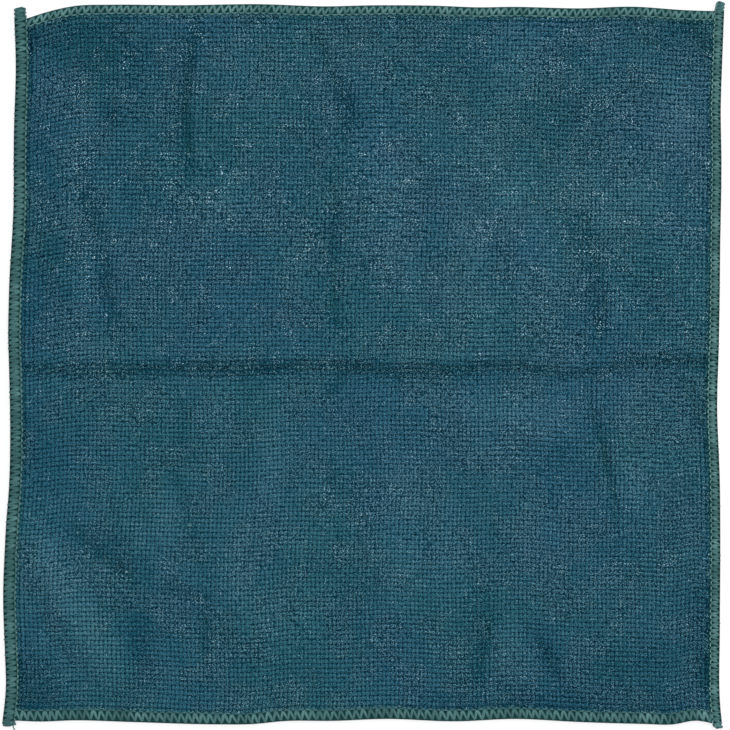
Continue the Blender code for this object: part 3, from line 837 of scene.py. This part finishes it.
def run_ends(run):
    """Where a run's threads start and end along its side, and where its tails meet the cloth."""
    if run.side in TAILS:
        low = rim("bottom", rim(run.side, -CORNER_PLACE))
        high = rim("top", rim(run.side, CORNER_PLACE))
        return low - TAILS[run.side][0].length, high + TAILS[run.side][1].length, low, high
    low = rim("left", rim(run.side, -CORNER_PLACE)) + RUN_WIDTH["left"] + RUN_GAP
    high = rim("right", rim(run.side, CORNER_PLACE)) - RUN_WIDTH["right"] - RUN_GAP
    return low, high, low, high


def on_tail(run, along, inset):
    """Insets drawn in over the tails, and how near each place is to a tip: 0 on the cloth, 1 at a tip.

    A tail's sides run straight to their insets at the tip, and its last part closes as an ellipse.
    """
    low, high = run_ends(run)[2:]
    near_tip = 0 * along
    for tail, past in zip(TAILS.get(run.side, ()), (low - along, along - high)):
        share = np.clip(past / tail.length, 0, 1)
        width = RUN_WIDTH[run.side] + share * (tail.inner - tail.outer - RUN_WIDTH[run.side])
        closing = np.sqrt(1 - TAIL_CLOSES * (np.clip(share - 1 + TAIL_ROUND, 0, 1) / TAIL_ROUND) ** 2)
        middle = share * tail.outer + width / 2
        drawn = middle + (inset / RUN_WIDTH[run.side] - 0.5) * width * closing
        inset = np.where(past > 0, drawn, inset)
        near_tip = np.maximum(near_tip, share)
    return inset, near_tip


def strand(path, facing, half_width, half_height, sides):
    """A flattened tube: rings of half_width * cos across the path and half_height * sin along facing.

    Returns the rings' points, and their places in the yarn: along it, and round its twist.
    """
    ahead = np.gradient(path, axis=0)
    ahead /= np.linalg.norm(ahead, axis=1)[:, None]
    across = np.cross(ahead, facing)
    across /= np.linalg.norm(across, axis=1)[:, None]
    out = np.cross(across, ahead)
    angle = 2 * np.pi * np.arange(sides) / sides
    ring_across = half_width[:, None, None] * across[:, None] * np.cos(angle)[:, None]
    ring_out = half_height[:, None, None] * out[:, None] * np.sin(angle)[:, None]
    travelled = np.concatenate([[0], np.cumsum(np.linalg.norm(np.diff(path, axis=0), axis=1))])
    twisted = angle[None] + 2 * np.pi * travelled[:, None] / TWIST_LENGTH
    lengthwise = 0 * angle[None] + travelled[:, None] / FILAMENT_LENGTH
    fibre = np.stack([lengthwise, np.cos(twisted), np.sin(twisted)], -1)
    return path[:, None] + ring_across + ring_out, fibre


def strand_faces(rings, sides, steps):
    """Quads between rings and a cap at each end, with a bake cell for each stitch's steps."""
    index = np.arange(rings * sides).reshape(rings, sides)
    after = np.roll(index, -1, axis=1)
    quads = np.stack([index[:-1], index[1:], after[1:], after[:-1]], -1)
    step = np.arange(rings - 1)
    cells = int(np.ceil(np.sqrt((rings - 1) / steps)))
    cell = step // steps
    corner = np.stack([cell % cells, cell // cells], -1)[:, None, None, :]
    lengthwise = BAKE_MARGIN + (1 - 2 * BAKE_MARGIN) * ((step % steps)[:, None] + [0, 1, 1, 0]) / steps
    around = BAKE_MARGIN + (1 - 2 * BAKE_MARGIN) * (np.arange(sides)[:, None] + [0, 0, 1, 1]) / sides
    place = np.stack(np.broadcast_arrays(lengthwise[:, None, :], around[None]), -1)
    caps = np.stack([index[0], index[-1][::-1]])
    angle = 2 * np.pi * np.arange(sides) / sides
    cap_place = 0.01 * np.stack([np.cos(angle), np.sin(angle)], -1) / cells + 0.02 / cells
    return (
        [quads.reshape(-1, 4), caps],
        [((corner + place) / cells).reshape(-1, 4, 2), np.stack([cap_place, cap_place])],
    )


def on_run(run, along, inset, height):
    """Points at places along a side, insets from its rim and heights, lower at its tails' tips."""
    inset, near_tip = on_tail(run, along, inset + 0 * along)
    across = rim(run.side, along) + INWARD[run.side] * inset
    x, y = (across, along) if run.side in UPRIGHT else (along, across)
    return np.stack([x, y, height * (1 - TIP_LOWER * soft_step(near_tip, 0.6, 1.0)) + lift(x, y)], -1)


def facing_on_run(run, outward, up):
    """Unit directions from their parts outward over the rim and up."""
    away = -INWARD[run.side] * outward
    facing = np.stack((away, 0 * up, up) if run.side in UPRIGHT else (0 * up, away, up), -1)
    return facing / np.linalg.norm(facing, axis=1)[:, None]


def looper_profile(run, level, middle):
    """A looper's line across the band: flat, a quarter ellipse over the rim, dipping at the needle.

    Returns shares of the way from the needle line to the rim, with insets, heights and facing.
    """
    share = np.linspace(0, 1, 60)
    bend = run.inner - (run.inner - run.outer) * share
    outward = np.clip((run.outer + ROUND_AT_RIM - bend) / ROUND_AT_RIM, 0, 1)
    face = np.sign(level - middle)
    height = middle + (level - middle) * np.sqrt(1 - outward**2)
    height -= face * DIP_AT_NEEDLE * (1 - soft_step(share, 0, 0.22))
    return share, bend, height, outward, face * np.sqrt(1 - outward**2)


def add_thread(name, run, path, facing, half_width, half_height, tone, steps, sides):
    """Makes one thread of a run, as a finished piece."""
    rings, fibre = strand(path, facing, half_width, half_height, sides)
    faces, places = strand_faces(len(path), sides, steps)
    # Painted light along each strand's crest and painted shade down its sides.
    crest = np.sin(2 * np.pi * np.arange(sides) / sides)
    piece = fill_mesh(
        name,
        rings.reshape(-1, 3),
        faces,
        places,
        fibre=fibre.reshape(-1, 3),
        tone=(tone[:, None] + CREST_LIGHT_AND_SHADE * (crest - 0.8)).ravel(),
    )
    piece.data.materials.append(thread)
    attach(piece, "root")
    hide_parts("overlock_" + run.side)


# Textured polyester sewing thread: many loose filaments with little twist, matt, greener than the pile.
thread, tree, shader = start_material(
    "textured_polyester_thread",
    Roughness=0.8,
    Specular_IOR_Level=0.3,
    Sheen_Weight=0.2,
    Sheen_Roughness=0.5,
    Sheen_Tint=linear("b9d8cc"),
)
fibre_place = add_node(tree, "Attribute", output="Vector", attribute_name="fibre")
thread_tone = add_node(tree, "Attribute", output="Fac", attribute_name="tone")
filaments = add_node(
    tree, "TexNoise", {"Vector": fibre_place, "Scale": 2.6, "Detail": 4.0, "Roughness": 0.6}
)
filament_tone = add_node(tree, "Math", {0: filaments, 1: 1.4, 2: thread_tone}, operation="MULTIPLY_ADD")
thread_colour = add_node(
    tree,
    "ValToRGB",
    {"Fac": filament_tone},
    stops=((0.45, "254f50"), (0.65, "436d6e"), (0.85, "5b8585"), (1.0, "7ca3a3")),
)
thread_bump = add_node(tree, "Bump", {"Height": filaments, "Strength": 0.5, "Distance": 0.12 * MM})
tree.links.new(thread_colour, shader.inputs["Base Color"])
tree.links.new(thread_bump, shader.inputs["Normal"])

for order, run in enumerate(RUNS):
    chance = np.random.default_rng(40 + order)
    start, end, low, high = run_ends(run)
    stitches_in = [
        round((low - start) / (run.pitch * TAIL_PITCH)),
        round((high - low) / run.pitch),
        round((end - high) / (run.pitch * TAIL_PITCH)),
    ]
    stitches = sum(stitches_in)
    spacing = np.repeat([TAIL_PITCH, 1.0, TAIL_PITCH], stitches_in)
    spacing = spacing * (1 + SPACING_VARIES * held_normal(chance, stitches))
    knots = start + (end - start) * np.concatenate([[0], np.cumsum(spacing)]) / spacing.sum()
    # Rows of values for each stitch: its place, then its fullness, slant, two reaches and tone.
    stitch_rows = np.vstack([knots, held_normal(chance, (5, stitches + 1))])

    for looper in LOOPERS:
        t = np.linspace(0, stitches, stitches * looper.steps + 1)
        along, fuller, slanted, at_rim, at_needle, toned = (
            np.interp(t, np.arange(stitches + 1), values) for values in stitch_rows
        )
        # Each stitch swings out to the rim and back, between a zigzag and a cosine wave.
        phase = t % 1
        straight = (1 - np.abs(2 * phase - 1)) ** run.turn
        swing = run.round * (0.5 - 0.5 * np.cos(2 * np.pi * phase)) + (1 - run.round) * straight
        share, bend, height, outward, up = looper_profile(run, looper.level, RIM_MIDDLE)
        inset = np.interp(swing, share, bend) + (RIM_VARIES * at_rim + 2 * looper.shift) * swing
        thinned = 1 - run.thin_in * (1 - soft_step(swing, 0, 0.4))
        thinned -= run.thin_out * soft_step(swing, 0.4, 0.85)
        # The tails' stitches lie closer together, so their strands are slimmer all the way.
        thinned += (TAIL_THINNED - thinned) * soft_step(on_tail(run, along, inset)[1], 0, 0.3)
        drift = run.pitch * ((run.slant + SLANT_VARIES * slanted) * swing + looper.shift)
        path = on_run(
            run,
            np.clip(along + drift, start, end),
            inset + NEEDLE_VARIES * at_needle * (1 - swing),
            np.interp(swing, share, height),
        )
        add_thread(
            f"overlock_{run.side}_{looper.name}_looper",
            run,
            path,
            facing_on_run(run, np.interp(swing, share, outward), np.interp(swing, share, up)),
            0.5 * run.strand * looper.size * (1 + FULLNESS_VARIES * fuller) * thinned,
            0.5 * run.height * looper.size * (1 + 0.02 * fuller),
            # The tone, with painted shade towards the rim.
            run.tone + TONE_VARIES * toned - RIM_SHADE * swing,
            looper.steps,
            looper.sides,
        )

    t = np.linspace(0, stitches, stitches * NEEDLE_STEPS + 1)
    along, fuller, at_needle, toned = (
        np.interp(t, np.arange(stitches + 1), stitch_rows[which]) for which in (0, 1, 4, 5)
    )
    arc = ARCS[run.side]
    bulge = np.sin(np.pi * (t % 1))
    inset = run.inner + arc.offset + arc.bulge * bulge + NEEDLE_VARIES * at_needle
    add_thread(
        f"overlock_{run.side}_needle",
        run,
        on_run(run, along, inset, NEEDLE_HEIGHT + arc.rise * np.sqrt(bulge)),
        facing_on_run(run, 0 * t, 1 + 0 * t),
        arc.half_width * (1 + FULLNESS_VARIES * fuller) * (0.3 + 0.9 * bulge),
        NEEDLE_HALF_HEIGHT * (0.7 + 0.4 * bulge),
        # The tone, with painted light in the arc's middle and painted shade at its ends.
        run.tone + arc.tone + ARC_LIGHT_AND_SHADE * (bulge - 0.7) + 0.5 * TONE_VARIES * toned,
        NEEDLE_STEPS,
        NEEDLE_SIDES,
    )

    # Inside a tail the chain's own loops lie packed together, which closes the gaps between strands.
    # The core starts just inside the cloth's edge and stops short of the tip.
    tails = (("low", low, start), ("high", high, end)) if run.side in TAILS else ()
    for name, edge, tip in tails:
        t = np.linspace(0, 1, CORE_RINGS)
        along = edge + (tip - edge) * (1.04 * t - 0.08)
        middle = on_tail(run, along, RUN_WIDTH[run.side] / 2 + 0 * t)[0]
        side = on_tail(run, along, 0 * t)[0]
        add_thread(
            f"overlock_{run.side}_{name}_tail_core",
            run,
            on_run(run, along, RUN_WIDTH[run.side] / 2, CORE_LEVEL + 0 * t),
            facing_on_run(run, 0 * t, 1 + 0 * t),
            CORE_FILLS * (middle - side),
            CORE_HALF_HEIGHT + 0 * t,
            # Painted shade inside the tail.
            run.tone - CORE_PAINTED_SHADE + 0 * t,
            CORE_RINGS - 1,
            CORE_SIDES,
        )

# A thread end that was left uncut at the near left corner. It comes down to the table and lies there,
# and spreads a little towards its cut.
THREAD_END = (
    (-146.8, -150.4, 1.3), (-147.2, -151.8, 0.9), (-147.1, -153.0, 0.4), (-146.6, -154.0, 0.24),
    (-146.5, -155.2, 0.24),
)
END_STEPS, END_SIDES = 12, 6
t = np.linspace(0, 1, END_STEPS + 1)
end_path = np.stack([
    smooth_through([(k / 4, point[axis]) for k, point in enumerate(THREAD_END)], t) for axis in range(3)
], -1)
add_thread(
    "overlock_left_thread_end",
    RUNS[0],
    end_path,
    np.tile((0.0, 0.0, 1.0), (len(t), 1)),
    0.22 + 0.06 * t,
    0.2 + 0 * t,
    0.02 + 0 * t,
    END_STEPS,
    END_SIDES,
)
